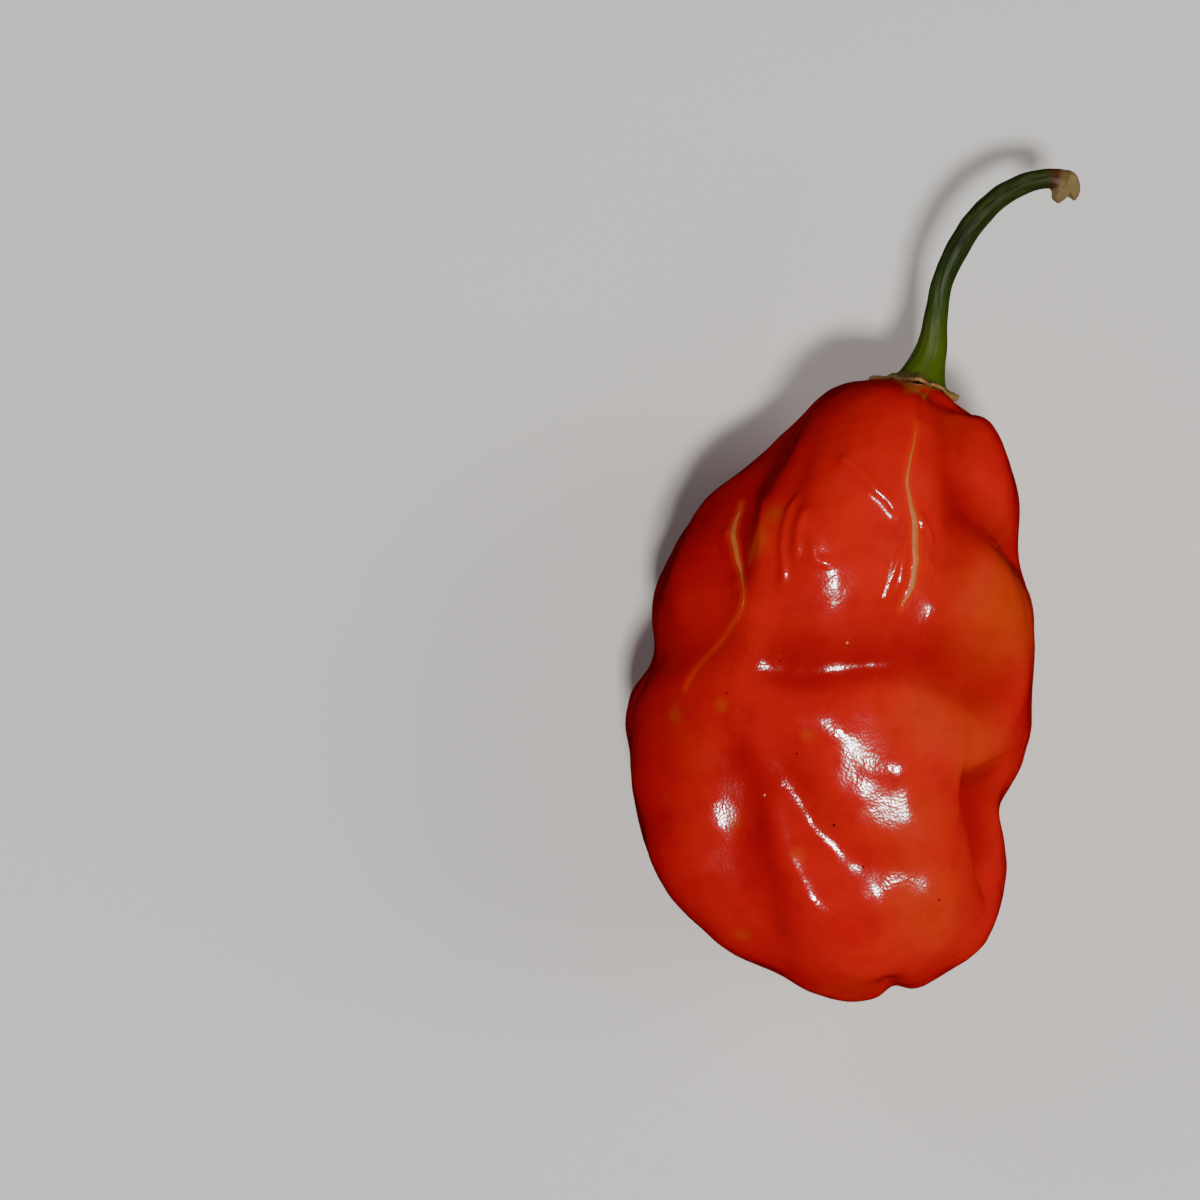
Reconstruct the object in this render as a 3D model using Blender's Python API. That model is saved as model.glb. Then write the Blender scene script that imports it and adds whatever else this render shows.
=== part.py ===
"""Chilli pepper: a wrinkled habanero pod lying on its side with its calyx and cut stem.

Blender script, metres, +Z up.  +X is to the right of the pod seen from above, +Y runs from the
blossom end to the stem.  The pod rests on the ground plane z = 0 on the flattened lobes of its
underside; the origin is at the centre of the bounding box, on the ground.
"""
import math

import bpy
import numpy as np

MM = 0.001

# ---- pod: driving dimensions (millimetres) -------------------------------------------------
POD_AROUND = 72
POD_ALONG = 42
SQUARENESS = 2.25

# Ribs from the calyx end to the blossom end:
# left x, left y, right x, right y, top z, bottom z (millimetres)
RIBS = (
    (6.2, 29.2, 6.2, 29.2, 18.5, 18.5),
    (3.3, 29.6, 9.0, 28.2, 23.2, 14.6),
    (-0.4, 29.3, 11.8, 26.8, 27.4, 11.0),
    (-3.2, 27.6, 14.0, 25.6, 30.8, 8.2),
    (-6.0, 24.4, 15.6, 22.4, 33.2, 5.8),
    (-10.2, 19.8, 16.4, 18.2, 34.7, 3.3),
    (-15.4, 14.8, 17.0, 13.6, 35.7, 1.0),
    (-18.0, 9.2, 18.2, 8.6, 36.1, -0.2),
    (-18.9, 3.8, 18.4, 3.6, 35.8, -0.8),
    (-20.4, -1.4, 18.3, -1.8, 35.1, -1.0),
    (-20.7, -7.2, 17.4, -7.4, 34.7, -1.0),
    (-19.2, -12.8, 15.9, -12.4, 34.2, -0.7),
    (-16.8, -18.6, 15.9, -17.6, 33.1, 0.4),
    (-12.4, -23.4, 15.2, -22.8, 30.6, 2.6),
    (-7.4, -26.8, 11.8, -26.8, 27.0, 6.0),
    (-2.2, -29.3, 6.0, -28.9, 21.8, 10.4),
    (1.0, -30.0, 1.0, -30.0, 15.6, 15.6),
)

# Lobes, furrows and folds: name, widths on the path's left and right (mm), height (mm),
# path of (rib number, angle in degrees from the top towards +X), sharp or soft, taper
STROKES = (
    ("crown lobe", 6.5, 6.5, 1.5, ((3.9, -14), (5.2, -9), (6.3, -7)), 0, 0),
    ("crown lobe edge", 1.6, 1.6, -0.55, ((4.2, -46), (5.3, -33), (6.3, -27), (7.2, -25)), 0, 0.3),
    ("left fold", 1.5, 1.5, 0.35, ((4.4, -58), (5.5, -41), (6.5, -32), (7.1, -30)), 0, 0.3),
    ("left furrow", 2.6, 2.4, -1.7, ((2.2, -95), (3.6, -80), (4.8, -60), (5.7, -48), (6.6, -39),
     (7.4, -35)), 0, 0.2),
    ("left lobe", 3.4, 3.4, 0.9, ((5.4, -78), (6.4, -64), (7.0, -58)), 0, 0),
    ("left waist", 3.4, 2.6, -1.2, ((8.3, -135), (8.1, -100), (8.06, -76), (7.8, -52), (7.6, -38),
     (7.7, -27)), 0, 0.15),
    ("saddle", 5.2, 2.6, -1.2, ((7.9, -38), (8.2, -23), (8.28, -10), (8.12, 3), (8.12, 13),
     (8.35, 25), (8.7, 37), (9.1, 54)), 0, 0.2),
    ("saddle lip", 1.9, 4.2, 0.2, ((8.9, -26), (8.7, -10), (8.6, 3), (8.65, 13), (8.95, 24),
     (9.4, 38), (9.7, 52)), 0, 0.25),
    ("right furrow", 2.8, 2.6, -1.3, ((1.6, 44), (2.6, 25), (3.97, 19), (4.85, 23), (5.6, 28),
     (6.4, 27), (7.2, 22)), 0, 0.2),
    ("shoulder fold", 1.6, 3.0, -1.9, ((4.2, 20), (4.9, 28), (5.4, 38), (5.75, 50), (6.1, 66),
     (6.4, 86)), 1, 0.35),
    ("right shoulder", 3.0, 3.0, 0.4, ((3.5, 44), (4.6, 50)), 0, 0),
    ("right lobe", 4.0, 4.0, 0.6, ((6.6, 44), (7.5, 48), (8.3, 50)), 0, 0),
    ("right pit", 4.2, 1.2, -2.8, ((9.5, 35.4), (9.85, 36.2), (10.15, 38.0), (10.45, 40.2),
     (10.8, 43.6), (11.19, 47.4), (11.57, 49.0), (11.98, 49.6), (12.5, 49)), 1, 0.35),
    ("right waist", 2.2, 2.2, -1.0, ((9.9, 40), (10.2, 52), (10.6, 68), (10.9, 90),
     (10.8, 125)), 0, 0.2),
    ("lower right lobe", 2.6, 2.6, 0.5, ((10.8, 62), (11.8, 58), (13.0, 50)), 0, 0),
    ("front lobe", 3.6, 3.6, 1.3, ((9.9, 17), (10.6, 24), (11.6, 29), (12.6, 24)), 0, 0),
    ("lower left furrow", 2.1, 3.4, -1.15, ((8.9, -38), (9.7, -31), (10.4, -27.5), (11.1, -26),
     (11.75, -27), (12.6, -33), (13.4, -48)), 0, 0.2),
    ("lower left lobe", 4.5, 4.5, 1.7, ((10.4, -60), (11.6, -57), (12.6, -50)), 0, 0),
    ("hollow", 3.0, 3.0, -1.3, ((9.9, -16), (10.8, -9), (11.5, 0)), 0, 0),
    ("blossom lobe", 4.6, 4.6, 1.3, ((12.2, -12), (13.2, -14)), 0, 0),
    ("nose", 3.0, 3.0, 0.5, ((14.3, -40), (15.0, -10)), 0, 0),
    ("nose notch", 1.3, 1.3, -0.9, ((15.7, 100), (15.0, 45), (14.2, 12), (13.5, 8)), 0, 0.25),
    ("calyx dip", 1.5, 1.5, -0.7, ((2.0, 75), (2.4, 48), (2.9, 30)), 0, 0.3),
    ("right side furrow", 2.6, 3.2, -1.3, ((2.2, 104), (4.4, 108), (6.6, 104), (8.2, 108),
     (10.0, 118)), 0, 0.2),
    ("right side waist", 2.4, 2.8, -1.1, ((9.7, 97), (9.5, 108), (9.2, 122), (9.0, 136)), 0, 0.3),
    ("right side lobe", 3.2, 3.2, 0.8, ((7.1, 120), (8.0, 122)), 0, 0),
    ("lower right side lobe", 3.2, 3.2, 0.9, ((11.2, 112), (12.2, 106)), 0, 0),
    ("left side furrow", 2.4, 2.8, -1.3, ((9.0, -106), (10.6, -110), (12.2, -106),
     (13.4, -100)), 0, 0.25),
    ("left side lobe", 3.2, 3.2, 0.8, ((5.8, -112), (6.8, -114)), 0, 0),
    ("upper left side furrow", 2.2, 2.6, -1.1, ((2.6, -112), (4.0, -106), (5.4, -98)), 0, 0.3),
    ("under furrow, right", 3.0, 3.0, -1.5, ((2.6, 112), (5.0, 132), (8.0, 128), (11.0, 136),
     (13.6, 120)), 0, 0.15),
    ("under furrow, left", 3.0, 3.0, -1.6, ((2.4, -118), (5.0, -140), (8.0, -152), (10.6, -146),
     (13.4, -118)), 0, 0.15),
    ("under dent", 3.4, 3.4, -1.2, ((7.4, 150), (7.8, 170), (7.3, -172)), 0, 0.2),
    ("blossom dimple", 1.6, 1.6, -1.1, ((15.6, 0), (16.0, 0), (15.6, 180)), 0, 0),
)

# Small lobes and hollows of the upper side: x, y, height (millimetres)
SMALL_WIDTH = 3.1
SMALL = (
    (-3.4, -23.8, -0.31), (0.3, -23.8, -0.17), (4.0, -23.8, 0.03), (-8.9, -20.6, -0.05),
    (-5.2, -20.6, 0.07), (-1.5, -20.6, 0.03), (2.2, -20.6, -0.03), (5.9, -20.6, -0.12),
    (-14.5, -17.4, 0.36), (-10.8, -17.4, -0.21), (-7.1, -17.4, -0.35), (-3.4, -17.4, -0.22),
    (0.3, -17.4, -0.06), (4.0, -17.4, 0.09), (7.7, -17.4, 0.23), (-16.3, -14.2, 0.75),
    (-12.6, -14.2, -0.55), (-8.9, -14.2, 0.30), (-5.2, -14.2, 0.16), (2.2, -14.2, -0.10),
    (5.9, -14.2, -0.15), (9.6, -14.2, -0.13), (-18.1, -11.0, -0.89), (-14.5, -11.0, 0.24),
    (-10.8, -11.0, -0.45), (-3.4, -11.0, -0.22), (4.0, -11.0, 0.14), (7.7, -11.0, 0.09),
    (-16.3, -7.8, -0.14), (-12.6, -7.8, -0.16), (-8.9, -7.8, -0.16), (-5.2, -7.8, -0.10),
    (-1.5, -7.8, -0.05), (2.2, -7.8, -0.35), (5.9, -7.8, -0.28), (9.6, -7.8, -0.07),
    (-18.1, -4.6, -0.03), (-14.5, -4.6, -0.23), (-10.8, -4.6, -0.21), (-7.1, -4.6, -0.12),
    (-3.4, -4.6, -0.20), (0.3, -4.6, -0.15), (4.0, -4.6, 0.08), (7.7, -4.6, -0.05),
    (11.4, -4.6, -0.07), (-16.3, -1.4, -0.09), (-12.6, -1.4, -0.14), (-8.9, -1.4, -0.27),
    (-5.2, -1.4, -0.05), (-1.5, -1.4, -0.13), (2.2, -1.4, -0.25), (5.9, -1.4, -0.09),
    (9.6, -1.4, -0.05), (-14.5, 1.8, -0.04), (-10.8, 1.8, -0.26), (-7.1, 1.8, -0.27),
    (-3.4, 1.8, -0.27), (0.3, 1.8, -0.20), (4.0, 1.8, -0.26), (7.7, 1.8, -0.37), (11.4, 1.8, 0.07),
    (-12.6, 5.0, -0.31), (-8.9, 5.0, -0.11), (2.2, 5.0, 0.24), (5.9, 5.0, 0.30), (9.6, 5.0, 0.06),
    (-10.8, 8.2, 0.37), (-7.1, 8.2, -0.07), (-3.4, 8.2, -0.12), (0.3, 8.2, -0.10),
    (4.0, 8.2, -0.78), (7.7, 8.2, 0.48), (-12.6, 11.5, 0.03), (-8.9, 11.5, 0.19),
    (-5.2, 11.5, -0.19), (-1.5, 11.5, -0.35), (2.2, 11.5, -0.12), (9.6, 11.5, 0.13),
    (-10.8, 14.7, 0.03), (-7.1, 14.7, 0.66), (-3.4, 14.7, 0.36), (0.3, 14.7, -0.52),
    (4.0, 14.7, -0.06), (7.7, 14.7, 0.18), (11.4, 14.7, 0.13), (-8.9, 17.9, 0.03),
    (-5.2, 17.9, 0.21), (-1.5, 17.9, -0.18), (-3.4, 21.1, 0.07), (0.3, 21.1, 0.35),
    (4.0, 21.1, 0.21), (7.7, 21.1, 0.06), (-1.5, 24.3, 0.04), (2.2, 24.3, 0.05), (9.6, 24.3, 0.04),
)

# ---- calyx: the thin dry cap on the crown of the pod ---------------------------------------
CALYX_CENTRE = (7.0, 29.0, 18.8)
CALYX_TILT = 15.0
CALYX_DIAMETER = 8.2
CALYX_THICK_RIM = 0.5
CALYX_THICK_MIDDLE = 1.1
CALYX_TEETH = 5
CALYX_TOOTH = 0.28
CALYX_LIFT = 0.25
CALYX_AROUND = 45
CALYX_RINGS = 7

# ---- stem: centre line (x, y, z) and diameter, from the calyx to the cut end ----------------
STEM_PATH = (
    (7.75, 29.9, 19.0, 4.5),
    (8.15, 31.0, 19.2, 3.5),
    (8.55, 33.0, 19.6, 2.9),
    (8.95, 35.4, 20.0, 2.4),
    (9.45, 38.2, 20.5, 2.1),
    (10.5, 41.2, 21.0, 2.25),
    (12.3, 44.3, 21.3, 2.3),
    (14.8, 46.9, 21.5, 2.25),
    (17.5, 48.3, 21.4, 2.0),
    (19.6, 48.5, 21.2, 1.9),
    (20.7, 48.2, 21.1, 2.5),
    (21.6, 47.6, 21.0, 2.7),
)
STEM_ANGLES = 5
STEM_ANGLE_DEPTH = 0.05
STEM_AROUND = 20
STEM_ALONG = 40

GAP = 0.3


def smooth_path(points, n=7):
    """Catmull-Rom curve through the points, n samples to each span."""
    p = np.array(points, float)
    p = np.vstack([2 * p[0] - p[1], p, 2 * p[-1] - p[-2]])
    u = np.linspace(0, 1, n, endpoint=False)[:, None]
    out = []
    for a, b, c, d in zip(p[:-3], p[1:-2], p[2:-1], p[3:]):
        out.append(0.5 * (2 * b + (c - a) * u + (2 * a - 5 * b + 4 * c - d) * u**2
                          + (3 * b - a - 3 * c + d) * u**3))
    return np.vstack(out + [p[-2:-1]])


def bspline(rows, t):
    i = np.clip(np.floor(t).astype(int), 0, len(rows) - 4)
    f = (t - i)[:, None]
    a, b, c, d = (rows[i + k] for k in range(4))
    return ((1 - f)**3 * a + (3 * f**3 - 6 * f**2 + 4) * b
            + (-3 * f**3 + 3 * f**2 + 3 * f + 1) * c + f**3 * d) / 6


def ribs_at(t):
    r = np.array(RIBS, float)
    mid = (r[:, 4] + r[:, 5]) / 2
    left = np.column_stack([r[:, 0], r[:, 1], mid])
    right = np.column_stack([r[:, 2], r[:, 3], mid])
    rows = np.column_stack([(left + right) / 2, (right - left) / 2, (r[:, 4] - r[:, 5]) / 2])
    even = np.array([1, 1, 1, -1, -1, -1, -1])
    rows = np.vstack([rows[1] * even, rows, rows[-2] * even])
    v = bspline(rows, t)
    return v[:, :3], v[:, 3:6], v[:, 6]


def base(t, angle):
    """Smooth body: grid of points, rows along the pod and columns around it."""
    centre, half, height = ribs_at(t)
    s, c = np.sin(angle), np.cos(angle)
    r = (np.abs(s)**SQUARENESS + np.abs(c)**SQUARENESS)**(-1 / SQUARENESS)
    p = centre[:, None, :] + half[:, None, :] * (s * r)[None, :, None]
    p[..., 2] += height[:, None] * (c * r)[None, :]
    return p


def normals(grid):
    along = np.gradient(grid, axis=0)
    around = np.roll(grid, -1, 1) - np.roll(grid, 1, 1)
    n = np.cross(along, around)
    n[0], n[-1] = n[1].mean(0), n[-2].mean(0)
    return n / np.linalg.norm(n, axis=-1, keepdims=True)


def point_on(t, angle):
    return base(np.array([float(t)]), np.radians([angle]))[0, 0]


def along_path(path, points, normal):
    """Distance from a path, share of its length there, and whether the point is on its right."""
    seg = path[1:] - path[:-1]
    length = np.linalg.norm(seg, axis=1)
    start = np.concatenate([[0], np.cumsum(length)])
    best = np.full(len(points), 1e9)
    where = np.zeros(len(points))
    right = np.zeros(len(points), bool)
    for k in range(len(seg)):
        v = points - path[k]
        u = np.clip(v @ seg[k] / max(length[k]**2, 1e-9), 0, 1)
        d = np.linalg.norm(v - u[:, None] * seg[k], axis=1)
        near = d < best
        best[near] = d[near]
        where[near] = (start[k] + u[near] * length[k]) / start[-1]
        right[near] = np.einsum("ij,ij->i", np.cross(seg[k], normal[near]), v[near]) > 0
    return best, where, right


def relief(points, normal, strokes=STROKES):
    total = np.zeros(len(points))
    for _, wide_left, wide_right, height, stations, sharp, taper in strokes:
        path = smooth_path([point_on(*s) for s in stations])
        mid = path.mean(0)
        reach = np.linalg.norm(path - mid, axis=1).max() + 3 * max(wide_left, wide_right)
        near = np.linalg.norm(points - mid, axis=1) < reach
        d, u, right = along_path(path, points[near], normal[near])
        q = d / np.where(right, wide_right, wide_left)
        f = np.exp(0.45 - 1.5 * np.sqrt(q * q + 0.09)) if sharp else np.exp(-q * q)
        if taper:
            e = np.clip(np.minimum(u, 1 - u) / taper, 0, 1)
            f = f * (e * e * (3 - 2 * e))
        total[near] += height * f
    return total


def small_lobes(points, normal):
    total = np.zeros(len(points))
    for x, y, height in SMALL:
        total += height * np.exp(-((points[:, 0] - x)**2 + (points[:, 1] - y)**2) / SMALL_WIDTH**2)
    up = np.clip((normal[:, 2] - 0.05) / 0.5, 0, 1)
    return total * up * up * (3 - 2 * up)


def surface(t, angle):
    grid = base(t, angle)
    n = normals(grid)
    points, normal = grid.reshape(-1, 3), n.reshape(-1, 3)
    h = (relief(points, normal) + small_lobes(points, normal)).reshape(grid.shape[:2])
    h[0], h[-1] = h[1].mean(), h[-2].mean()
    p = grid + n * h[..., None]
    p[..., 2] = np.maximum(p[..., 2], 0)
    return p


def closed_mesh(name, grid, colour, roughness):
    """One closed body from a grid of rings whose first and last ring close to a point."""
    rings = grid[1:-1]
    count, around = rings.shape[:2]
    points = np.vstack([grid[0].mean(0)[None], rings.reshape(-1, 3), grid[-1].mean(0)[None]])
    last = len(points) - 1
    ring = 1 + np.arange(count * around).reshape(count, around)
    step = np.roll(ring, -1, axis=1)
    faces = [(0, int(b), int(a)) for a, b in zip(ring[0], step[0])]
    for i in range(count - 1):
        for a, b, c, d in zip(ring[i], step[i], step[i + 1], ring[i + 1]):
            faces.append((int(a), int(b), int(c), int(d)))
    faces += [(last, int(a), int(b)) for a, b in zip(ring[-1], step[-1])]
    mesh = bpy.data.meshes.new(name)
    mesh.from_pydata(points.tolist(), [], faces)
    mesh.update()
    volume = 0.0
    for polygon in mesh.polygons:
        corners = points[list(polygon.vertices)]
        for k in range(1, len(corners) - 1):
            volume += np.dot(corners[0], np.cross(corners[k], corners[k + 1]))
    if volume < 0:
        mesh.flip_normals()
    for polygon in mesh.polygons:
        polygon.use_smooth = True
    material = bpy.data.materials.new(name)
    material.use_nodes = True
    shader = material.node_tree.nodes["Principled BSDF"]
    shader.inputs["Base Color"].default_value = colour
    shader.inputs["Roughness"].default_value = roughness
    mesh.materials.append(material)
    thing = bpy.data.objects.new(name, mesh)
    bpy.context.scene.collection.objects.link(thing)
    return thing


def pod_grid():
    """Rings are closer together towards the two ends, where the pod turns over."""
    share = (1 - np.cos(np.linspace(0, math.pi, POD_ALONG + 1))) / 2
    share = 0.55 * share + 0.45 * np.linspace(0, 1, POD_ALONG + 1)
    angle = np.linspace(0, 2 * math.pi, POD_AROUND, endpoint=False)
    return surface(share * (len(RIBS) - 1), angle)


def calyx_axes():
    tilt = math.radians(CALYX_TILT)
    axis = np.array([math.sin(tilt), math.cos(tilt), 0.0])
    side = np.array([math.cos(tilt), -math.sin(tilt), 0.0])
    return axis, side, np.array([0.0, 0.0, 1.0])


def crown_height(pod, across, up):
    """Height of the pod's surface over the calyx plane at each place in that plane."""
    axis, side, rise = calyx_axes()
    crown = pod[: POD_ALONG // 4].reshape(-1, 3) - np.array(CALYX_CENTRE)
    flat = np.column_stack([crown @ side, crown @ rise])
    tall = crown @ axis
    out = np.empty(len(across))
    for k, (a, b) in enumerate(zip(across, up)):
        d = np.hypot(flat[:, 0] - a, flat[:, 1] - b)
        weight = np.exp(-(d / 0.9)**2) + 1e-9
        out[k] = (weight * tall).sum() / weight.sum()
    return out


def calyx_grid(pod):
    """A thin saucer that follows the crown: under side, rim with short teeth, upper side."""
    axis, side, rise = calyx_axes()
    angle = np.linspace(0, 2 * math.pi, CALYX_AROUND, endpoint=False)
    share = np.linspace(0, 1, CALYX_RINGS)
    tooth = 1 + CALYX_TOOTH / (CALYX_DIAMETER / 2) * np.cos(CALYX_TEETH * angle)
    rows = []
    for radius, top in [(r, False) for r in share] + [(r, True) for r in share[::-1]]:
        reach = radius * CALYX_DIAMETER / 2 * (1 + (tooth - 1) * radius**2)
        across, up = reach * np.sin(angle), reach * np.cos(angle)
        height = crown_height(pod, across, up) + GAP + 0.12 + CALYX_LIFT * radius**6
        if top:
            height = height + CALYX_THICK_RIM + (CALYX_THICK_MIDDLE - CALYX_THICK_RIM) * (1 - radius**2)
        rows.append(CALYX_CENTRE + across[:, None] * side + up[:, None] * rise + height[:, None] * axis)
    return np.array(rows)


def stem_grid(calyx):
    """The stalk: a slightly five-angled tube along its path, flared at the calyx, knobbed at the cut."""
    control = np.array(STEM_PATH, float)
    path = smooth_path(control, 12)
    share = np.linspace(0, len(path) - 1, STEM_ALONG)
    path = np.column_stack([np.interp(share, np.arange(len(path)), path[:, k]) for k in range(4)])
    angle = np.linspace(0, 2 * math.pi, STEM_AROUND, endpoint=False)
    axis, side, rise = calyx_axes()
    middle = calyx.reshape(-1, 3) @ axis
    near = np.hypot((calyx.reshape(-1, 3) - path[0, :3]) @ side, (calyx.reshape(-1, 3) - path[0, :3]) @ rise)
    foot = middle[near < 2.6].max() + GAP
    path[:, :3] += axis * max(0.0, foot - path[0, :3] @ axis) * np.exp(-0.25 * np.arange(STEM_ALONG))[:, None]
    tangent = np.gradient(path[:, :3], axis=0)
    tangent[0] = axis
    tangent /= np.linalg.norm(tangent, axis=1, keepdims=True)
    rows = [np.repeat(path[:1, :3], STEM_AROUND, axis=0)]
    for k, (point, along) in enumerate(zip(path, tangent)):
        u = np.cross(along, rise)
        u /= np.linalg.norm(u)
        v = np.cross(u, along)
        radius = point[3] / 2 * (1 + STEM_ANGLE_DEPTH * np.cos(STEM_ANGLES * angle))
        spoke = radius[:, None] * (np.cos(angle)[:, None] * u + np.sin(angle)[:, None] * v)
        if k == 0:
            rows.append(point[:3] + 0.5 * spoke)
        rows.append(point[:3] + spoke)
    rows.append(path[-1, :3] + 0.5 * (rows[-1] - path[-1, :3]) - 0.1 * tangent[-1])
    rows.append(np.repeat(path[-1:, :3] - 0.25 * tangent[-1:], STEM_AROUND, axis=0))
    return np.array(rows)


def main():
    for thing in list(bpy.data.objects):
        bpy.data.objects.remove(thing)
    pod = pod_grid()
    calyx = calyx_grid(pod)
    stem = stem_grid(calyx)
    everything = np.vstack([grid.reshape(-1, 3) for grid in (pod, calyx, stem)])
    low, high = everything.min(0), everything.max(0)
    origin = np.array([(low[0] + high[0]) / 2, (low[1] + high[1]) / 2, low[2]])
    closed_mesh("pod", (pod - origin) * MM, (0.56, 0.035, 0.008, 1.0), 0.2)
    closed_mesh("calyx", (calyx - origin) * MM, (0.22, 0.15, 0.05, 1.0), 0.7)
    closed_mesh("stem", (stem - origin) * MM, (0.10, 0.20, 0.02, 1.0), 0.5)


main()
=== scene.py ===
import math

import bpy
import numpy as np
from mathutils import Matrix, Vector


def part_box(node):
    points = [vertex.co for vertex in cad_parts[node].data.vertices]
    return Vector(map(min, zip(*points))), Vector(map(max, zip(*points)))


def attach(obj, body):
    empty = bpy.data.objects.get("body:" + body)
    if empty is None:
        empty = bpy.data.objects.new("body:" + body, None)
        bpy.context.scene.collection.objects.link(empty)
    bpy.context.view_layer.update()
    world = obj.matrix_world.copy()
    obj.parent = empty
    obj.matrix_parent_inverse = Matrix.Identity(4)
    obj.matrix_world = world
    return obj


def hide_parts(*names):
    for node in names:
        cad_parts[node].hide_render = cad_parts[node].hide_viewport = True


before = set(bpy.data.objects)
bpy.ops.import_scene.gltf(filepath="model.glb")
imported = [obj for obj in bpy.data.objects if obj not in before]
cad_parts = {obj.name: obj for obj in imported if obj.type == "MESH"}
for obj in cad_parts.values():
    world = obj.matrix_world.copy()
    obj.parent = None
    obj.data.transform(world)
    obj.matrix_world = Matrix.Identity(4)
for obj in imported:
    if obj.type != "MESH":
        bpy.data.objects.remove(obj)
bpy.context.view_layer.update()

# A chilli pepper lying on its side: the pod, its calyx and its cut stem.
# Lengths in the tables are millimetres in the pod's own frame; OFFSET takes them to the CAD frame.
MM = 0.001

POD_AROUND = 72
POD_ALONG = 42
SQUARENESS = 2.25
CALYX_CENTRE = (7.0, 29.0, 18.8)
CALYX_TILT = 15.0
CALYX_DIAMETER = 8.2
CALYX_TEETH = 5

# Ribs from the calyx end to the blossom end:
# left x, left y, right x, right y, top z, bottom z (millimetres)
RIBS = (
    (6.2, 29.2, 6.2, 29.2, 18.5, 18.5),
    (3.3, 29.6, 9.0, 28.2, 23.2, 14.6),
    (-0.4, 29.3, 11.8, 26.8, 27.4, 11.0),
    (-3.2, 27.6, 14.0, 25.6, 30.8, 8.2),
    (-6.0, 24.4, 15.6, 22.4, 33.2, 5.8),
    (-10.2, 19.8, 16.4, 18.2, 34.7, 3.3),
    (-15.4, 14.8, 17.0, 13.6, 35.7, 1.0),
    (-18.0, 9.2, 18.2, 8.6, 36.1, -0.2),
    (-18.9, 3.8, 18.4, 3.6, 35.8, -0.8),
    (-20.4, -1.4, 18.3, -1.8, 35.1, -1.0),
    (-20.7, -7.2, 17.4, -7.4, 34.7, -1.0),
    (-19.2, -12.8, 15.9, -12.4, 34.2, -0.7),
    (-16.8, -18.6, 15.9, -17.6, 33.1, 0.4),
    (-12.4, -23.4, 15.2, -22.8, 30.6, 2.6),
    (-7.4, -26.8, 11.8, -26.8, 27.0, 6.0),
    (-2.2, -29.3, 6.0, -28.9, 21.8, 10.4),
    (1.0, -30.0, 1.0, -30.0, 15.6, 15.6),
)

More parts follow.
